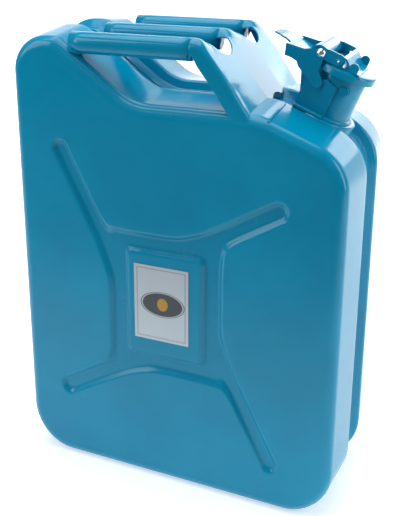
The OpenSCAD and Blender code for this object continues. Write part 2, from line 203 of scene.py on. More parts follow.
class Finish:
    """A material whose nodes are made by one method."""

    def __init__(self, name):
        self.material = bpy.data.materials.new(name)
        self.material.use_nodes = True
        self.tree = self.material.node_tree
        self.tree.nodes.clear()
        self.shader = self.tree.nodes.new("ShaderNodeBsdfPrincipled")
        output = self.tree.nodes.new("ShaderNodeOutputMaterial")
        self.tree.links.new(self.shader.outputs[0], output.inputs[0])
        self.place = self.add("ShaderNodeTexCoord", {}, {}, "Object")

    def feed(self, socket, value):
        """Links a Value to a socket, or sets the socket to a plain number or colour."""
        if isinstance(value, Value):
            self.tree.links.new(value.socket, socket)
        elif isinstance(value, (tuple, list)) and len(value) == 3 and socket.type == "RGBA":
            socket.default_value = (*value, 1.0)
        else:
            socket.default_value = value

    def add(self, kind, settings, inputs, output=0):
        """Adds one node: its settings first, then its sockets; returns one of its outputs."""
        node = self.tree.nodes.new(kind)
        for name, setting in settings.items():
            if name == "stops":
                ramp = node.color_ramp
                for element, (position, shade) in zip(
                        [ramp.elements[0], ramp.elements[1]]
                        + [ramp.elements.new(0.5) for _ in setting[2:]], setting):
                    element.position = position
                    element.color = (*shade, 1.0)
            else:
                setattr(node, name, setting)
        for name, value in inputs.items():
            self.feed(node.inputs[name], value)
        return Value(self, node.outputs[output])

    def noise(self, scale, detail=2.0, roughness=0.5, place=None):
        """Soft noise from 0 to 1 whose features are about 1 / scale metres across."""
        return self.add("ShaderNodeTexNoise", {}, {
            "Vector": place or self.place, "Scale": scale, "Detail": detail,
            "Roughness": roughness})

    def stretched(self, scale):
        """Object coordinates stretched by a factor along each axis."""
        return self.add("ShaderNodeMapping", {}, {"Vector": self.place, "Scale": scale})

    def mix(self, amount, first, second):
        """first where amount is 0, second where it is 1."""
        return self.add("ShaderNodeMix", {"data_type": "RGBA"},
                        {"Factor": amount, "A": first, "B": second}, "Result")

    def bump(self, height, depth, strength=1.0):
        """A normal from a height field that is depth metres high."""
        return self.add("ShaderNodeBump", {}, {
            "Height": height, "Distance": depth, "Strength": strength}, "Normal")

    def paint(self, **sockets):
        """Sets or links the shader's own sockets; base_color means Base Color."""
        for name, value in sockets.items():
            socket_name = name.replace("_", " ").title().replace("Ior", "IOR")
            self.feed(self.shader.inputs[socket_name], value)
        return self.material


def tint(vector):
    """A property's colour or a point as a plain tuple."""
    return tuple(float(part) for part in vector)


def enamel_finish(name, colours, worn):
    """Glossy enamel: coat thickness clouds, orange peel, faint sheet waves, smudges and dust.

    worn says whether the piece carries the crest attribute that places chips and rubbed gloss,
    and the mask that places painted shade in the pressed cross and the seam channel.
    """
    finish = Finish(name)
    cloud = finish.noise(9.0, 3.0, 0.55)
    coat = finish.add("ShaderNodeValToRGB", {"stops": [
        (0.32, tint(colours.deep_enamel_and_shade)), (0.52, tint(colours.enamel)),
        (0.78, tint(colours.enamel_pale))]}, {"Fac": cloud}, "Color")
    peel = finish.noise(620.0, 1.5, 0.45)
    waves = finish.noise(11.0, 1.0, 0.4)
    smudge = finish.noise(26.0, 4.0, 0.62).step(0.46, 0.72)
    specks = finish.noise(900.0, 1.0, 0.5).step(0.70, 0.76)
    base = coat
    roughness = 0.13 + smudge * 0.10 + specks * 0.12
    height = waves * 0.26 + peel * 0.010
    if worn:
        crest = finish.add("ShaderNodeAttribute", {"attribute_name": "crest"}, {}, "Fac")
        chips = finish.noise(190.0, 5.0, 0.68).step(0.665, 0.69) * crest
        rubbed = crest * finish.noise(60.0, 3.0, 0.6)
        # Painted shade: the pressed cross and the seam channel are darkened towards deep enamel,
        # and made a little rougher.
        groove = finish.add("ShaderNodeAttribute", {"attribute_name": "groove"}, {}, "Fac")
        base = finish.mix(chips * 0.85, coat, tint(colours.primer))
        base = finish.mix(groove * 0.30, base, tint(colours.deep_enamel_and_shade))
        roughness = roughness + rubbed * 0.10 + chips * 0.25 + groove * 0.08
        height = height - chips * 0.05
    return finish.paint(
        base_color=base, roughness=roughness, normal=finish.bump(height, 0.001),
        metallic=0.0, coat_weight=0.1, coat_roughness=0.03, ior=1.33)


def bright_steel_finish(colours):
    """Turned bright steel: fine rings across Y and a few dull spots."""
    finish = Finish("bright_turned_steel")
    rings = finish.noise(1.0, 2.0, 0.5, finish.stretched((60.0, 2600.0, 60.0)))
    spots = finish.noise(240.0, 3.0, 0.6).step(0.52, 0.72)
    return finish.paint(
        base_color=finish.mix(spots * 0.35, tint(colours.bright), tint(colours.zinc)),
        roughness=0.18 + rings * 0.12 + spots * 0.14,
        normal=finish.bump(rings, 0.00002), metallic=1.0)


def zinc_finish(colours):
    """Zinc plate: pale spangle with a soft, uneven lustre."""
    finish = Finish("zinc_plate")
    spangle = finish.noise(420.0, 4.0, 0.6)
    dull = finish.noise(70.0, 3.0, 0.6).step(0.4, 0.75)
    return finish.paint(
        base_color=finish.mix(dull, tint(colours.zinc), (0.40, 0.41, 0.40)),
        roughness=0.30 + spangle * 0.12 + dull * 0.14,
        normal=finish.bump(spangle, 0.00003), metallic=0.9)


def rubber_finish(colours):
    """Moulded rubber: matt, with fine grain and a grey bloom."""
    finish = Finish("gasket_rubber")
    grain = finish.noise(1500.0, 3.0, 0.6)
    bloom = finish.noise(90.0, 3.0, 0.6).step(0.5, 0.8)
    return finish.paint(
        base_color=finish.mix(bloom * 0.5, tint(colours.rubber), (0.06, 0.06, 0.06)),
        roughness=0.66 + bloom * 0.14, normal=finish.bump(grain, 0.00005), metallic=0.0)


def foil_finish(colours, centre, half):
    """Label foil: upright brushing, a printed border line and a plain oval, with no words."""
    finish = Finish("label_foil")
    brushed = finish.noise(1.0, 3.0, 0.6, finish.stretched((1900.0, 300.0, 26.0)))
    split = finish.tree.nodes.new("ShaderNodeSeparateXYZ")
    finish.feed(split.inputs[0], finish.place)
    across = (Value(finish, split.outputs[0]) - centre[0]) / half[0]
    up = (Value(finish, split.outputs[2]) - centre[2]) / half[1]
    edge = abs(across).highest(1.0 - (1.0 - abs(up)) * (half[1] / half[0]))
    border = edge.step(0.86, 0.87) * (1.0 - edge.step(0.905, 0.915))
    across = across - 0.05
    oval = (across * across) / 0.66 + (up * up) / 0.112
    ring = oval.step(0.90, 0.94) * (1.0 - oval.step(1.0, 1.04))
    mark = 1.0 - oval.step(0.80, 0.86)
    spot = 1.0 - ((across * across) / 0.040 + (up * up) / 0.030).step(0.85, 1.05)
    printed = (border * 0.35).highest(ring * 0.75).highest(mark * 0.92)
    clouds = finish.noise(40.0, 3.0, 0.6)
    base = finish.mix(clouds * 0.35, tint(colours.foil), (0.56, 0.62, 0.66))
    inked = finish.mix(printed, base, (0.045, 0.050, 0.060))
    return finish.paint(
        base_color=finish.mix(spot * 0.9, inked, (0.50, 0.30, 0.05)),
        roughness=0.30 + brushed * 0.16 + printed * 0.1,
        normal=finish.bump(brushed, 0.00002), metallic=0.55)


def floor_finish(colours):
    """Pale paper: faint mottle, a glow that grows to the back, and painted shade that makes it
    greyer in front of the can, a dark room for the can's front to reflect.
    """
    finish = Finish("pale_floor")
    mottle = finish.noise(3.0, 3.0, 0.5)
    split = finish.tree.nodes.new("ShaderNodeSeparateXYZ")
    finish.feed(split.inputs[0], finish.place)
    depth = Value(finish, split.outputs[1])
    glow = depth.step(-0.60, -0.25) * 0.42 + depth.step(0.3, 1.4) * 0.58
    # Painted shade: the paper in front of the can is mixed towards grey, so the can's front
    # reflects a dark room.
    out_of_painted_shade = depth.step(-0.80, -0.28)
    paper = finish.mix(mottle * 0.2, tint(colours.floor), (0.92, 0.92, 0.93))
    return finish.paint(
        base_color=finish.mix(out_of_painted_shade, (0.30, 0.30, 0.305), paper),
        roughness=0.62 + mottle * 0.1, metallic=0.0,
        emission_color=finish.mix(glow, (0.0, 0.0, 0.0), (1.0, 1.0, 1.0)),
        emission_strength=1.0)


# ---------------------------------------------------------------- surfaces

def grid_quads(rows, columns, wrap):
    """Quads of a rows by columns grid of vertices; wrap joins the last column to the first."""
    row = np.arange(rows - 1)[:, None] * columns
    column = np.arange(columns if wrap else columns - 1)[None, :]
    after = (column + 1) % columns
    return np.stack([row + column, row + after, row + columns + after, row + columns + column],
                    axis=-1).reshape(-1, 4)


def put_mesh(name, points, quads, material, attributes=None):
    """A smooth mesh object at the origin from points and quads; unused points are left out.

    A quad whose last two corners are the same point is put in as a triangle.
    """
    kept, renumbered = np.unique(quads, return_inverse=True)
    quads = renumbered.reshape(-1, 4)
    points = points[kept]
    triangle = quads[:, 2] == quads[:, 3]
    sizes = np.where(triangle, 3, 4)
    mask = np.ones(quads.shape, dtype=bool)
    mask[triangle, 3] = False
    mesh = bpy.data.meshes.new(name)
    mesh.vertices.add(len(points))
    mesh.vertices.foreach_set("co", points.astype(np.float32).ravel())
    mesh.loops.add(int(sizes.sum()))
    mesh.loops.foreach_set("vertex_index", quads[mask].astype(np.int32))
    mesh.polygons.add(len(quads))
    starts = np.concatenate([[0], np.cumsum(sizes)[:-1]]).astype(np.int32)
    mesh.polygons.foreach_set("loop_start", starts)
    mesh.polygons.foreach_set("use_smooth", np.ones(len(quads), dtype=bool))
    mesh.update(calc_edges=True)
    for attribute, amounts in (attributes or {}).items():
        layer = mesh.attributes.new(attribute, "FLOAT", "POINT")
        layer.data.foreach_set("value", amounts[kept].astype(np.float32))
    mesh.materials.append(material)
    piece = bpy.data.objects.new(name, mesh)
    bpy.context.scene.collection.objects.link(piece)
    return piece


def declare(piece, body, slot, *nodes):
    """Rides a piece on its body and hides the CAD nodes it stands for; slot is not used."""
    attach(piece, body)
    if nodes:
        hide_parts(*nodes)
    return piece


def can_corners(can):
    """Corners of the rim outline, anticlockwise, as x, z and radius."""
    half = can.width / 2
    fall = math.tan(can.shoulder_tilt)
    pocket = can.recess_foot - (can.height - can.recess_height) / math.tan(can.recess_slope)
    return [
        (-half, 0.0, can.bottom_radius),
        (half, 0.0, can.bottom_radius),
        (half, can.spout_z - (half - can.spout_x) * fall, can.spout_radius),
        (can.spout_x - (can.recess_height - can.spout_z) / fall, can.recess_height, 0.060),
        (can.recess_foot, can.recess_height, 0.045),
        (pocket, can.height, 0.018),
        (-half, can.height, can.top_radius),
    ]


def rim_outline(can, spacing):
    """Points and outward normals of the rim, about spacing apart.

    Each corner is an arc of its radius that turns from one side's direction to the next;
    each side is a straight run of evenly spaced points between two arcs.
    """
    corners = can_corners(can)
    count = len(corners)
    points, normals = [], []
    arcs = []
    for index in range(count):
        before, here, after = (np.array(corners[(index + shift) % count][:2])
                               for shift in (-1, 0, 1))
        radius = corners[index][2]
        first = (here - before) / np.linalg.norm(here - before)
        second = (after - here) / np.linalg.norm(after - here)
        turn = math.atan2(first[0] * second[1] - first[1] * second[0], first @ second)
        side = 1.0 if turn > 0 else -1.0
        start = math.atan2(-first[0], first[1])
        inward = np.array([first[1], -first[0]])
        centre = here - first * radius * math.tan(abs(turn) / 2) - side * radius * inward
        steps = max(8, int(radius * abs(turn) / spacing))
        angle = start + turn * np.linspace(0.0, 1.0, steps + 1)
        normal = np.stack([np.cos(angle), np.sin(angle)], axis=1)
        arcs.append((centre + side * radius * normal, normal))
    for index in range(count):
        arc, normal = arcs[index]
        points.append(arc)
        normals.append(normal)
        following = arcs[(index + 1) % count][0][0]
        run = np.linalg.norm(following - arc[-1])
        steps = max(1, int(round(run / spacing)))
        share = np.arange(1, steps)[:, None] / steps
        points.append(arc[-1] + share * (following - arc[-1]))
        normals.append(np.repeat(normal[-1:], steps - 1, axis=0))
    return np.concatenate(points), np.concatenate(normals)


def ring_points(points, normals, inset, y, lean):
    """The rim outline moved in by inset at depth y; lean is left off along the level bottom.

    x = px - nx inset, z = pz - nz inset + min(nz, 0) lean, for arrays of insets by outline.
    """
    inset, y, lean = (np.asarray(part, dtype=float)[:, None] for part in (inset, y, lean))
    x = points[:, 0] - normals[:, 0] * inset
    z = points[:, 1] - normals[:, 1] * inset + np.minimum(normals[:, 1], 0.0) * lean
    return np.stack([x, np.broadcast_to(y, x.shape), z], axis=-1)


def rounded_path(corners, steps):
    """A path of (a, b, radius) corners as points, each corner but the ends a tangent arc."""
    points = [np.array([corners[0][:2]])]
    for before, here, after in zip(corners, corners[1:], corners[2:]):
        middle = np.array(here[:2])
        first = middle - np.array(before[:2])
        second = np.array(after[:2]) - middle
        first /= np.linalg.norm(first)
        second /= np.linalg.norm(second)
        turn = math.atan2(first[0] * second[1] - first[1] * second[0], first @ second)
        cut = here[2] * math.tan(abs(turn) / 2)
        left = np.array([-first[1], first[0]]) * math.copysign(1.0, turn)
        centre = middle - first * cut + left * here[2]
        share = turn * np.linspace(0.0, 1.0, steps)[:, None]
        arm = -left * here[2]
        points.append(centre + np.cos(share) * arm
                      + np.sin(share) * np.array([-arm[1], arm[0]]))
    points.append(np.array([corners[-1][:2]]))
    return np.concatenate(points)


def smooth_step(amount):
    """3 t t - 2 t t t, with t held between 0 and 1."""
    t = np.clip(amount, 0.0, 1.0)
    return t * t * (3.0 - 2.0 * t)


def block_distance(x, z, half_w, half_h, radius):
    """Signed distance to a block with round corners, below 0 inside."""
    over_x = np.abs(x) - (half_w - radius)
    over_z = np.abs(z) - (half_h - radius)
    outside = np.hypot(np.maximum(over_x, 0.0), np.maximum(over_z, 0.0))
    return outside + np.minimum(np.maximum(over_x, over_z), 0.0) - radius


def arm_distance(x, z, start, end, radius):
    """Signed distance to a round-ended arm from start to end, below 0 inside."""
    along = np.array(end) - np.array(start)
    share = np.clip(((x - start[0]) * along[0] + (z - start[1]) * along[1])
                    / (along @ along), 0.0, 1.0)
    return np.hypot(x - start[0] - share * along[0], z - start[1] - share * along[1]) - radius


# The pressed cross: its centre as x and z, and its block, panel and arms from that centre.
PATTERN_CENTRE = (-0.005, 0.200)
CROSS_HALF = (0.061, 0.075)
PANEL_HALF = (0.041, 0.056)
FLAT_ARM = ((0.032, 0.066), (0.112, 0.114), 0.011)
STEEP_ARM = ((0.054, -0.038), (0.111, -0.150), 0.0095)


def pressed_depth(can, x, z):
    """How far the face is pressed in at x and z, and 0 to 1 how deep that is.

    The cross is a block joined to four round-ended arms, softly blended; the panel inside it
    is raised back to the face. A slow wave of a quarter of a millimetre stands for the
    slackness of thin sheet.
    """
    x = x - PATTERN_CENTRE[0]
    z = z - PATTERN_CENTRE[1]
    parts = [block_distance(x, z, *CROSS_HALF, 0.010)]
    for start, end, radius in (FLAT_ARM, STEEP_ARM):
        for sign in (1.0, -1.0):
            parts.append(arm_distance(sign * x, sign * z, start, end, radius))
    blend = 0.006
    cross = -blend * np.log(sum(np.exp(-part / blend) for part in parts))
    panel = block_distance(x, z, *PANEL_HALF, 0.005)
    soft = can.press_blend
    inside = smooth_step((-cross + 0.0005) / soft)
    raised = smooth_step((-panel + 0.002) / (soft * 0.8))
    amount = inside * (1.0 - raised)
    slack = 0.00012 * (1.0 + np.sin(23.0 * x + 1.0) * np.sin(17.0 * z + 0.6))
    return can.press_depth * 0.97 * amount + slack, amount


def spout_frame(can, points):
    """u down the shoulder, y across it and w up the neck, for points in the can's frame."""
    cos, sin = math.cos(can.shoulder_tilt), math.sin(can.shoulder_tilt)
    x = points[..., 0] - can.spout_x
    z = points[..., 2] - can.spout_z
    return x * cos - z * sin, points[..., 1], x * sin + z * cos


def from_spout(can, u, y, w):
    """Points in the can's frame, from u down the shoulder, y across it and w up the neck."""
    cos, sin = math.cos(can.shoulder_tilt), math.sin(can.shoulder_tilt)
    u, y, w = np.broadcast_arrays(*(np.asarray(part, dtype=float) for part in (u, y, w)))
    return np.stack([can.spout_x + u * cos + w * sin, y, can.spout_z - u * sin + w * cos],
                    axis=-1)


def clear_of_neck(can, points, quads, radius):
    """The quads whose middle is outside the neck's hole of that radius."""
    u, y, w = spout_frame(can, points[quads].mean(axis=1))
    return quads[(np.hypot(u, y) > radius) | (w < -0.05)]


def half_shell_surface(can, spacing, face_rings):
    """Points, quads, crest and painted recess shade of the front half shell.

    The face is a fan of rings: centre + t (edge - centre), t from 0 to 1, pressed in by
    pressed_depth. Then the face edge turns through a quarter circle, the wall leans out to
    the rim, and the rim rolls over into the seam channel as far as the seam.
    """
    points, normals = rim_outline(can, spacing)
    columns = len(points)
    face = -can.half_depth
    angle = np.linspace(math.pi / 2, 0.0, 10)
    edge_inset = can.draft + can.face_radius * (1.0 - np.cos(angle))
    edge_y = face + can.face_radius * (1.0 - np.sin(angle))
    wall = rounded_path([
        (can.draft, face + can.face_radius, 0.0), (0.0, -can.channel_half + 0.0004, 0.0050),
        (can.channel_depth, -can.channel_half + 0.0072, 0.0030),
        (can.channel_depth, -0.0001, 0.0)], 9)
    start = wall[0]
    run = start + np.linspace(0.0, 1.0, 7)[1:, None] * (wall[1] - start)
    wall = np.concatenate([run, wall[2:]])
    wall_lean = can.draft * np.clip(wall[:, 0] / can.draft, 0.0, 1.0) * (
        wall[:, 1] < -can.channel_half - 0.004)
    inset = np.concatenate([edge_inset, wall[:, 0]])
    depth = np.concatenate([edge_y, wall[:, 1]])
    lean = np.concatenate([np.full(len(angle), can.draft), wall_lean])
    sides = ring_points(points, normals, inset, depth, lean)
    rim = sides[0]
    centre = np.array([PATTERN_CENTRE[0], face, PATTERN_CENTRE[1]])
    share = np.linspace(0.0, 1.0, face_rings + 1)[1:-1, None, None]
    fan = centre + share * (rim - centre)
    pressed, amount = pressed_depth(can, fan[..., 0], fan[..., 2])
    settle = smooth_step((1.0 - share[..., 0]) / 0.06)
    fan[..., 1] += pressed * settle
    centre[1] += pressed_depth(can, centre[0], centre[2])[0]
    rings = np.concatenate([fan, sides])
    count = len(rings)
    quads = grid_quads(count, columns, True) + 1
    column = np.arange(columns)
    hub = np.stack([np.zeros(columns, dtype=int), 1 + (column + 1) % columns, 1 + column,
                    1 + column], axis=1)
    everything = np.concatenate([[centre], rings.reshape(-1, 3)])
    crest = np.zeros((count, columns))
    turning = np.concatenate([np.zeros(len(fan)), np.sin(2.0 * angle),
                              np.exp(-((wall[:, 1] + can.channel_half + 0.001) / 0.0035) ** 2)])
    crest[:] = np.clip(turning, 0.0, 1.0)[:, None]
    # Painted shade: the pressed cross and the seam channel are marked for darkening in the
    # enamel.
    groove = np.zeros((count, columns))
    groove[:len(fan)] = amount * settle
    groove[len(fan):] = smooth_step((inset - 0.003) / 0.006)[:, None] * (
        depth > -can.channel_half)[:, None]
    return (everything, np.concatenate([hub, quads]),
            np.concatenate([[0.0], crest.ravel()]), np.concatenate([[0.0], groove.ravel()]))


def tube_along(path, radius, sides, closed):
    """A tube round a path: path + r (cos a across + sin a up), capped when it is open.

    across and up are square to the path's direction; radius is a number or one for each
    point of the path.
    """
    if closed:
        ahead = np.roll(path, -1, axis=0) - np.roll(path, 1, axis=0)
    else:
        ahead = np.gradient(path, axis=0)
    ahead /= np.linalg.norm(ahead, axis=1)[:, None]
    spread = np.linalg.svd(path - path.mean(axis=0), full_matrices=True)[2][2]
    across = np.cross(ahead, spread)
    across /= np.linalg.norm(across, axis=1)[:, None]
    up = np.cross(across, ahead)
    angle = np.linspace(0.0, 2.0 * math.pi, sides, endpoint=False)
    radius = np.broadcast_to(radius, len(path))[:, None, None]
    points = path[:, None] + radius * (np.cos(angle)[None, :, None] * across[:, None]
                                       + np.sin(angle)[None, :, None] * up[:, None])
    count = len(path)
    quads = grid_quads(count, sides, True)
    if closed:
        last = quads[:sides] + (count - 1) * sides
        quads = np.concatenate([quads, last % (count * sides)])
        return points.reshape(-1, 3), quads[:, ::-1]
    everything = np.concatenate([points.reshape(-1, 3), path[:1], path[-1:]])
    column = np.arange(sides)
    after = (column + 1) % sides
    first = np.stack([np.full(sides, count * sides), column, after, after], axis=1)
    base = (count - 1) * sides
    final = np.stack([np.full(sides, count * sides + 1), base + after, base + column,
                      base + column], axis=1)
    return everything, np.concatenate([quads[:, ::-1], first, final])


def evenly(path, count):
    """A closed path as count points at even distances along it, without doubled points."""
    loop = np.concatenate([path, path[:1]])
    step = np.linalg.norm(np.diff(loop, axis=0), axis=1)
    travel = np.concatenate([[0.0], np.cumsum(step)])
    kept = np.concatenate([[True], step > 1e-9])
    places = np.linspace(0.0, travel[-1], count, endpoint=False)
    return np.stack([np.interp(places, travel[kept], loop[kept, axis]) for axis in range(3)],
                    axis=1)


def rope(count, waves, radius, seed):
    """Radii of a hand-laid weld bead: ripples of a wave count with a little unevenness."""
    share = np.arange(count) / count
    uneven = np.random.default_rng(seed).normal(0.0, 0.05, count)
    soft = np.convolve(np.r_[uneven, uneven, uneven], np.ones(5) / 5, "same")[count:2 * count]
    return radius * (0.90 + 0.10 * np.abs(np.sin(math.pi * waves * share)) + soft)


def joined(parts):
    """Several (points, quads) surfaces as one."""
    offset = np.cumsum([0] + [len(points) for points, _ in parts[:-1]])
    return (np.concatenate([points for points, _ in parts]),
            np.concatenate([quads + shift for (_, quads), shift in zip(parts, offset)]))


def finished_node(node, body, slot, material, edge_round):
    """A merged copy of a CAD node with rounded cut edges, which stands for the node."""
    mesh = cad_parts[node].data.copy()
    shape = bmesh.new()
    shape.from_mesh(mesh)
    bmesh.ops.remove_doubles(shape, verts=shape.verts, dist=2e-6)
    bmesh.ops.dissolve_limit(shape, angle_limit=math.radians(0.6), verts=shape.verts,
                             edges=shape.edges)
    shape.to_mesh(mesh)
    shape.free()
    mesh.polygons.foreach_set("use_smooth", np.ones(len(mesh.polygons), dtype=bool))
    mesh.materials.clear()
    mesh.materials.append(material)
    piece = bpy.data.objects.new(f"{node}_finished", mesh)
    bpy.context.scene.collection.objects.link(piece)
    bevel = piece.modifiers.new("cut_edges", "BEVEL")
    bevel.width = edge_round
    bevel.segments = 2
    bevel.limit_method = "ANGLE"
    bevel.angle_limit = math.radians(34.0)
    bevel.use_clamp_overlap = True
    normals = piece.modifiers.new("flat_faces", "WEIGHTED_NORMAL")
    normals.keep_sharp = True
    normals.weight = 80
    return declare(piece, body, slot, node)


# ---------------------------------------------------------------- operators

FINISHES = {}


class CAN_OT_finishes(bpy.types.Operator):
    """Makes the enamel, steel, zinc, rubber, foil and floor finishes"""

    bl_idname = "can.finishes"
    bl_label = "Make Finishes"

    def execute(self, context):
        colours = context.scene.can_colours
        low, high = (np.array(corner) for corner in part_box("maker_label"))
        centre = (low + high) / 2
        half = ((high - low) / 2)[[0, 2]]
        FINISHES["shell"] = enamel_finish("shell_enamel", colours, True)
        FINISHES["enamel"] = enamel_finish("fitting_enamel", colours, False)
        FINISHES["bright"] = bright_steel_finish(colours)
        FINISHES["zinc"] = zinc_finish(colours)
        FINISHES["rubber"] = rubber_finish(colours)
        FINISHES["foil"] = foil_finish(colours, tint(centre), tint(half))
        FINISHES["floor"] = floor_finish(colours)
        return {"FINISHED"}


class CAN_OT_half_shells(bpy.types.Operator):
    """Makes the two pressed half shells with their cross, rims and seam channel"""

    bl_idname = "can.half_shells"
    bl_label = "Make Half Shells"

    def execute(self, context):
        can = context.scene.can_shape
        spacing, rings = ((0.0031, 150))
        points, quads, crest, groove = half_shell_surface(can, spacing, rings)
        quads = clear_of_neck(can, points, quads, NECK_CLEAR)
        if len(quads) * 2 > FACE_LIMIT:
            raise RuntimeError("a half shell has too many faces")
        # The crest places chips and rubbed gloss; the second mask places painted shade in the
        # recesses.
        marks = {"crest": crest, "groove": groove}
        front = put_mesh("front_shell_pressed", points, mirrored(quads), FINISHES["shell"],
                         marks)
        declare(front, "can", "enamel", "front_shell")
        rear = put_mesh("rear_shell_pressed", points * [1, -1, 1], quads, FINISHES["shell"],
                        marks)
        declare(rear, "can", "enamel", "rear_shell")
        return {"FINISHED"}


def mirrored(quads):
    """The same faces turned the other way; triangles keep their doubled last corner."""
    turned = quads[:, [0, 3, 2, 1]]
    triangle = quads[:, 2] == quads[:, 3]
    turned[triangle] = quads[triangle][:, [0, 2, 1, 1]]
    return turned


class CAN_OT_seam_weld(bpy.types.Operator):
    """Makes the weld bead that joins the half shells in the seam channel"""

    bl_idname = "can.seam_weld"
    bl_label = "Make Seam Weld"

    def execute(self, context):
        can = context.scene.can_shape
        points, normals = rim_outline(can, 0.0014)
        count = len(points)
        ripple = rope(count, count // 3, 1.0, 4)
        angle = np.linspace(0.0, math.pi, 7)[:, None]
        inset = can.channel_depth + 0.0002 - BEAD_RISE * np.sin(angle) * ripple
        x = points[:, 0] - normals[:, 0] * inset
        z = points[:, 1] - normals[:, 1] * inset
        y = np.broadcast_to(-BEAD_HALF * np.cos(angle), x.shape)
        bead = np.stack([x, y, z], axis=-1).reshape(-1, 3)
        quads = clear_of_neck(can, bead, grid_quads(7, count, True), NECK_CLEAR)
        piece = put_mesh("seam_weld_bead", bead, mirrored(quads), FINISHES["enamel"])
        declare(piece, "can", "enamel", "seam_weld")
        return {"FINISHED"}


class CAN_OT_handle_bars(bpy.types.Operator):
    """Makes the round handle bars and the weld beads where they meet the air pocket"""

    bl_idname = "can.handle_bars"
    bl_label = "Make Handle Bars"

    def execute(self, context):
        can = context.scene.can_shape
        handle = context.scene.can_handle
        radius = handle.bar_radius
        cos, sin = math.cos(can.recess_slope), math.sin(can.recess_slope)
        lean = can.draft * (handle.bar_pitch - radius - can.channel_half) / (
            can.half_depth - can.face_radius - can.channel_half)
        angle = np.linspace(0.0, 2.0 * math.pi, BAR_SIDES, endpoint=False)
        for name, y, inset in (("front", -handle.bar_pitch, lean), ("middle", 0.0,
                               can.channel_depth - 0.0015), ("rear", handle.bar_pitch, lean)):
            across = y + radius * np.cos(angle)
            up = can.height - radius + radius * np.sin(angle)
            square_end = can_corners(can)[5][0] + 0.015
            left = can.recess_foot - ((up - can.recess_height) * cos + inset) / sin
            left = np.maximum(left, square_end)
            stations = np.linspace(0.0, 1.0, BAR_RINGS)[:, None]
            end = handle.bar_end - 0.0001
            x = (left - 0.0012) + stations * (end - left + 0.0012)
            rings = np.stack([x, np.broadcast_to(across, x.shape),
                              np.broadcast_to(up, x.shape)], axis=-1)
            hub = np.array([rings[0].mean(axis=0), rings[-1].mean(axis=0)])
            points = np.concatenate([rings.reshape(-1, 3), hub])
            count = len(angle)
            column = np.arange(count)
            after = (column + 1) % count
            base = (BAR_RINGS - 1) * count
            caps = [np.stack([np.full(count, BAR_RINGS * count), after, column, column], axis=1),
                    np.stack([np.full(count, BAR_RINGS * count + 1), base + column,
                              base + after, base + after], axis=1)]
            quads = np.concatenate([grid_quads(BAR_RINGS, count, True), *caps])
            bar = put_mesh(f"{name}_handle_bar_tube", points, quads, FINISHES["enamel"])
            declare(bar, "can", "enamel", f"{name}_handle_bar")
            dense = np.linspace(0.0, 2.0 * math.pi, 180, endpoint=False)
            up = can.height - radius + (radius - 0.0002) * np.sin(dense)
            left = can.recess_foot - ((up - can.recess_height) * cos + inset) / sin
            path = np.stack([np.maximum(left, square_end) + 0.0002,
                             y + (radius - 0.0002) * np.cos(dense), up], axis=1)
            slope_top = can.recess_height + (
                (can.recess_foot - square_end) * sin - inset) / cos
            path[:, 2] = np.minimum(path[:, 2], slope_top)
            path[:, 1] = np.clip(path[:, 1], -can.half_depth + 0.0022,
                                 can.half_depth - 0.0022)
            bead = put_mesh(f"{name}_bar_weld", *tube_along(
                evenly(path, 180), rope(180, 30, handle.weld_radius, 7), 8, True),
                FINISHES["enamel"])
            declare(bead, "can", "enamel")
        return {"FINISHED"}


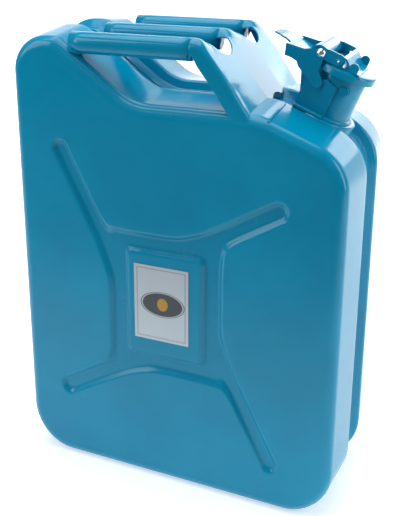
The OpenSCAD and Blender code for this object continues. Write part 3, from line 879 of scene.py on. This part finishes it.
def end_plate_surface(can, handle):
    """Outer surface of the end plate, as a grid of stations down it by columns across it.

    Down the plate runs a path p(s): level over the bars, a bend, the straight slope and a
    small turned-out foot. Across it each station is a channel section: a flange that goes
    depth d inwards, a corner of radius c, and the flat web. Near the bars c grows to the bar
    radius and the web bends round each bar. The top edge is cut by a saddle arc between each
    two bars and the bottom edge by an arch over the seam.
    """
    radius = handle.bar_radius
    half = handle.bar_pitch + radius
    tilt = handle.plate_tilt
    bend = 0.014
    start = np.array([handle.bar_end + 0.00005, can.height])
    along = np.array([math.cos(tilt), -math.sin(tilt)])
    turn = np.linspace(0.0, tilt, 14)
    arc = start + [0.0025, -bend] + bend * np.stack([np.sin(turn), np.cos(turn)], axis=1)
    slope_end = (handle.plate_foot - arc[-1, 0]) / along[0]
    straight = arc[-1] + np.linspace(0.0, slope_end, 60)[1:, None] * along
    shoulder = -math.radians(15.0)
    fold = np.linspace(-tilt, shoulder, 9)[1:]
    step = 0.0007
    turned = straight[-1] + np.cumsum(
        step * np.stack([np.cos(fold), np.sin(fold)], axis=1), axis=0)
    tail = turned[-1] + np.linspace(0.0, handle.foot_length, 8)[1:, None] * np.array(
        [math.cos(shoulder), math.sin(shoulder)])
    path = np.concatenate([start[None], arc, straight, turned, tail])
    travel = np.concatenate([[0.0], np.cumsum(np.linalg.norm(np.diff(path, axis=0), axis=1))])
    slope_stop = travel[len(arc) + len(straight)]
    ahead = np.gradient(path, axis=0)
    ahead /= np.linalg.norm(ahead, axis=1)[:, None]
    inward = np.stack([ahead[:, 1], -ahead[:, 0]], axis=1)

    flange = np.linspace(1.0, 0.0, 7)[:-1]
    corner = np.linspace(0.0, math.pi / 2, 9)
    web = np.linspace(-1.0, 1.0, 150)[1:-1]
    web_y = web * (half - radius)
    into = np.abs(np.abs(web_y) - handle.bar_pitch / 2)
    saddle = np.where(
        into < 0.0232,
        can.height + SADDLE_RISE - np.sqrt(np.maximum(SADDLE_RADIUS ** 2 - into ** 2, 0.0)),
        can.height)
    falling = path[len(arc) // 2:len(arc) + len(straight)]
    falling_travel = travel[len(arc) // 2:len(arc) + len(straight)]
    first = np.interp(-saddle, -falling[:, 1], falling_travel, left=0.0)
    first = np.where(saddle >= can.height - 1e-6, 0.0, first)
    foot_z = straight[-1, 1]
    arch = foot_z - ARCH_DROP + np.sqrt(np.maximum(ARCH_RADIUS ** 2 - web_y ** 2, 0.0))
    arch_stop = np.interp(-arch, -falling[:, 1], falling_travel)
    open_foot = smooth_step((np.abs(web_y) - 0.0262) / 0.0026)
    last = np.where((arch > foot_z) & (np.abs(web_y) < ARCH_RADIUS), arch_stop,
                    slope_stop + open_foot * (travel[-1] - slope_stop))
    side = len(flange) + len(corner)
    first = np.concatenate([np.zeros(side), first, np.zeros(side)])
    ends = slope_stop + np.concatenate([np.full(len(flange), 0.0),
                                        0.6 * (travel[-1] - slope_stop) * corner / corner[-1]])
    last = np.concatenate([ends, last, ends[::-1]])
    share = np.linspace(0.0, 1.0, 90)[:, None]
    s = first + share * (last - first)
    x = np.interp(s, travel, path[:, 0])
    z = np.interp(s, travel, path[:, 1])
    in_x = np.interp(s, travel, inward[:, 0])
    in_z = np.interp(s, travel, inward[:, 1])
    near_bars = 1.0 - smooth_step(s / 0.026)
    c = 0.0042 + (radius - 0.0042) * near_bars
    depth = np.interp(s, [0.0, 0.0025, travel[len(arc)], travel[len(arc)] + 0.012],
                      [0.0195, 0.0135, 0.0135, handle.flange_width])
    edge = slice(0, len(flange))
    bent = slice(len(flange), side)
    middle = slice(side, side + len(web))
    y = np.zeros_like(s)
    d = np.zeros_like(s)
    y[:, edge] = -half
    d[:, edge] = c[:, edge] + flange * (depth[:, edge] - c[:, edge])
    y[:, bent] = -half + c[:, bent] * (1.0 - np.cos(corner))
    d[:, bent] = c[:, bent] * (1.0 - np.sin(corner))
    y[:, middle] = web * (half - c[:, middle])
    off_bar = np.minimum(np.abs(web_y), np.abs(np.abs(web_y) - handle.bar_pitch))
    wrap = radius - np.sqrt(radius ** 2 - np.minimum(off_bar, 0.93 * radius) ** 2)
    d[:, middle] = wrap * near_bars[:, middle] ** 1.5
    count = side + len(web)
    y[:, count:] = -y[:, :side][:, ::-1]
    d[:, count:] = d[:, :side][:, ::-1]
    lean = can.draft * np.clip((np.abs(y) - can.channel_half) / 0.0475, 0.0, 1.0)
    low = smooth_step((s - 0.5 * slope_stop) / (0.5 * slope_stop))
    points = np.stack([x + in_x * d, y, z + in_z * d - lean * low], axis=-1)
    return points.reshape(-1, 3), grid_quads(*s.shape, False)


class CAN_OT_end_plate(bpy.types.Operator):
    """Makes the folded end plate of the handle, with saddles, arch, flanges and feet"""

    bl_idname = "can.end_plate"
    bl_label = "Make End Plate"

    def execute(self, context):
        handle = context.scene.can_handle
        points, quads = end_plate_surface(context.scene.can_shape, handle)
        plate = put_mesh("end_plate_sheet", points, mirrored(quads), FINISHES["enamel"])
        wall = plate.modifiers.new("sheet", "SOLIDIFY")
        wall.thickness = SHEET
        wall.offset = -1.0
        edges = plate.modifiers.new("cut_edges", "BEVEL")
        edges.width = handle.edge_round
        edges.segments = 2
        edges.angle_limit = math.radians(50.0)
        declare(plate, "can", "enamel", "handle_end_plate")
        return {"FINISHED"}


NODE_FINISHES = (
    ("handle_weld_beads", "can", "enamel", "enamel", 0.6),
    ("neck_collar", "can", "enamel", "enamel", 0.6),
    ("neck_tube", "can", "enamel", "enamel", 0.5),
    ("neck_weld_bead", "can", "enamel", "enamel", 0.9),
    ("spout_studs", "can", "enamel", "enamel", 0.7),
    ("breather_tube", "can", "zinc", "zinc", 0.2),
    ("hinge_bracket", "can", "enamel", "enamel", 0.5),
    ("hinge_pin", "can", "zinc", "zinc", 0.4),
    ("maker_label", "can", "label", "foil", 0.1),
    ("lid", "lid", "enamel", "enamel", 0.6),
    ("lid_gasket", "lid", "gasket", "rubber", 0.5),
    ("lid_strap", "lid", "enamel", "enamel", 0.5),
    ("lever", "lever", "enamel", "enamel", 0.5),
    ("lever_pivot_pins", "lever", "enamel", "enamel", 0.4),
    ("locking_pin", "locking_pin", "bright_steel", "bright", 0.5),
)


class CAN_OT_fittings(bpy.types.Operator):
    """Rounds the cut edges of the fittings and gives each one its finish"""

    bl_idname = "can.fittings"
    bl_label = "Finish Fittings"

    def execute(self, context):
        handle = context.scene.can_handle
        for node, body, slot, finish, share in NODE_FINISHES:
            finished_node(node, body, slot, FINISHES[finish], handle.edge_round * share)
        return {"FINISHED"}


class CAN_OT_small_welds(bpy.types.Operator):
    """Makes the hand-laid welds along the bracket's base and beside the spout studs"""

    bl_idname = "can.small_welds"
    bl_label = "Make Small Welds"

    def execute(self, context):
        can = context.scene.can_shape
        handle = context.scene.can_handle
        parts = []
        for side in (-1.0, 1.0):
            u = np.linspace(-0.0265, 0.0020, 70)
            path = from_spout(can, u, side * 0.0250, 0.0019)
            parts.append(tube_along(path, rope(70, 8, 1.45 * handle.weld_radius, 11), 10,
                                    False))
            angle = np.linspace(0.0, 2.0 * math.pi, 60, endpoint=False)
            u = 0.010 + 0.0042 * np.cos(angle)
            y = side * np.sqrt(0.0231 ** 2 - u ** 2)
            path = from_spout(can, u, y, 0.032 + 0.0042 * np.sin(angle))
            parts.append(tube_along(path, rope(60, 9, 0.5 * handle.weld_radius, 12), 8, True))
        welds = put_mesh("bracket_welds", *joined(parts), FINISHES["enamel"])
        declare(welds, "can", "enamel")
        return {"FINISHED"}


class CAN_OT_stage(bpy.types.Operator):
    """Makes the pale floor with its rear sweep, the soft lights and the camera"""

    bl_idname = "can.stage"
    bl_label = "Make Stage"

    def execute(self, context):
        settings = context.scene.can_stage
        width = np.linspace(-4.0, 4.0, 9)
        run = np.linspace(0.0, 1.0, 40)
        turn = np.clip((run - 0.55) / 0.2, 0.0, 1.0) * math.pi / 2
        y = np.where(run < 0.55, -4.0 + run / 0.55 * 6.0, 2.0 + 0.8 * np.sin(turn))
        z = 0.8 * (1.0 - np.cos(turn)) + np.maximum(run - 0.75, 0.0) * 10.0
        points = np.stack([np.broadcast_to(width, (40, 9)), np.broadcast_to(y[:, None], (40, 9)),
                           np.broadcast_to(z[:, None], (40, 9))], axis=-1)
        floor = put_mesh("floor", points.reshape(-1, 3), grid_quads(40, 9, False),
                         FINISHES["floor"])
        for name, place, target, size, power in (
                ("overhead_softbox", (-0.15, 0.05, 1.55), (0.0, 0.0, 0.2), (1.3, 1.1), 15.0),
                ("left_softbox", (-1.25, -1.05, 1.05), (0.0, 0.0, 0.22), (0.9, 1.3), 13.0),
                ("right_softbox", (1.35, -0.10, 0.75), (0.05, 0.0, 0.25), (0.35, 1.2), 8.0),
                ("rear_softbox", (0.5, 1.4, 1.0), (0.0, 0.0, 0.25), (1.2, 0.8), 8.0),
                ("edge_strip", (-0.35, -1.1, 1.45), (0.0, 0.0, 0.3), (1.8, 0.07), 0.9)):
            lamp = bpy.data.lights.new(name, "AREA")
            lamp.shape = "RECTANGLE"
            lamp.size, lamp.size_y = size
            lamp.energy = power * settings.light
            lamp_object = bpy.data.objects.new(name, lamp)
            lamp_object.location = place
            lamp_object.rotation_euler = (Vector(target) - Vector(place)).to_track_quat(
                "-Z", "Y").to_euler()
            context.scene.collection.objects.link(lamp_object)
        world = bpy.data.worlds.new("white_room")
        world.use_nodes = True
        world.node_tree.nodes["Background"].inputs[0].default_value = (0.95, 0.97, 1.0, 1.0)
        world.node_tree.nodes["Background"].inputs[1].default_value = 0.16
        context.scene.world = world
        context.scene.view_settings.view_transform = "Standard"
        target = Vector(VIEW_TARGET)
        offset = Vector((math.sin(settings.azimuth) * math.cos(settings.elevation),
                         -math.cos(settings.azimuth) * math.cos(settings.elevation),
                         math.sin(settings.elevation))) * settings.distance
        lens = bpy.data.cameras.new("view")
        lens.lens = settings.lens
        lens.sensor_width = 36.0
        lens.shift_x, lens.shift_y = VIEW_SHIFT
        lens.clip_start = 0.02
        camera = bpy.data.objects.new("view", lens)
        camera.location = target + offset
        aim = (-offset).to_track_quat("-Z", "Y") @ Quaternion((0.0, 0.0, 1.0), settings.roll)
        camera.rotation_euler = aim.to_euler()
        context.scene.collection.objects.link(camera)
        bpy.context.scene.camera = camera
        return {"FINISHED"}


class CAN_PT_panel(bpy.types.Panel):
    """Lists the can's sizes, colours and steps"""

    bl_label = "Fuel Can"
    bl_idname = "CAN_PT_panel"
    bl_space_type = "VIEW_3D"
    bl_region_type = "UI"
    bl_category = "Fuel Can"

    def draw(self, context):
        scene = context.scene
        for group in (scene.can_shape, scene.can_handle, scene.can_colours, scene.can_stage):
            box = self.layout.box()
            for name in group.__annotations__:
                box.prop(group, name)
        for step in STEPS:
            self.layout.operator(step.bl_idname)


STEPS = (CAN_OT_finishes, CAN_OT_half_shells, CAN_OT_seam_weld, CAN_OT_handle_bars,
         CAN_OT_end_plate, CAN_OT_fittings, CAN_OT_small_welds, CAN_OT_stage)
GROUPS = {"can_shape": CanShape, "can_handle": HandleShape, "can_colours": FinishColours,
          "can_stage": StageSettings}
CLASSES = (*GROUPS.values(), *STEPS, CAN_PT_panel)


def register():
    for each in CLASSES:
        bpy.utils.register_class(each)
    for name, group in GROUPS.items():
        setattr(bpy.types.Scene, name, PointerProperty(type=group))


def unregister():
    for name in GROUPS:
        delattr(bpy.types.Scene, name)
    for each in reversed(CLASSES):
        bpy.utils.unregister_class(each)


def main():
    register()
    for step in STEPS:
        family, name = step.bl_idname.split(".")
        getattr(getattr(bpy.ops, family), name)()


if __name__ == "__main__":
    main()
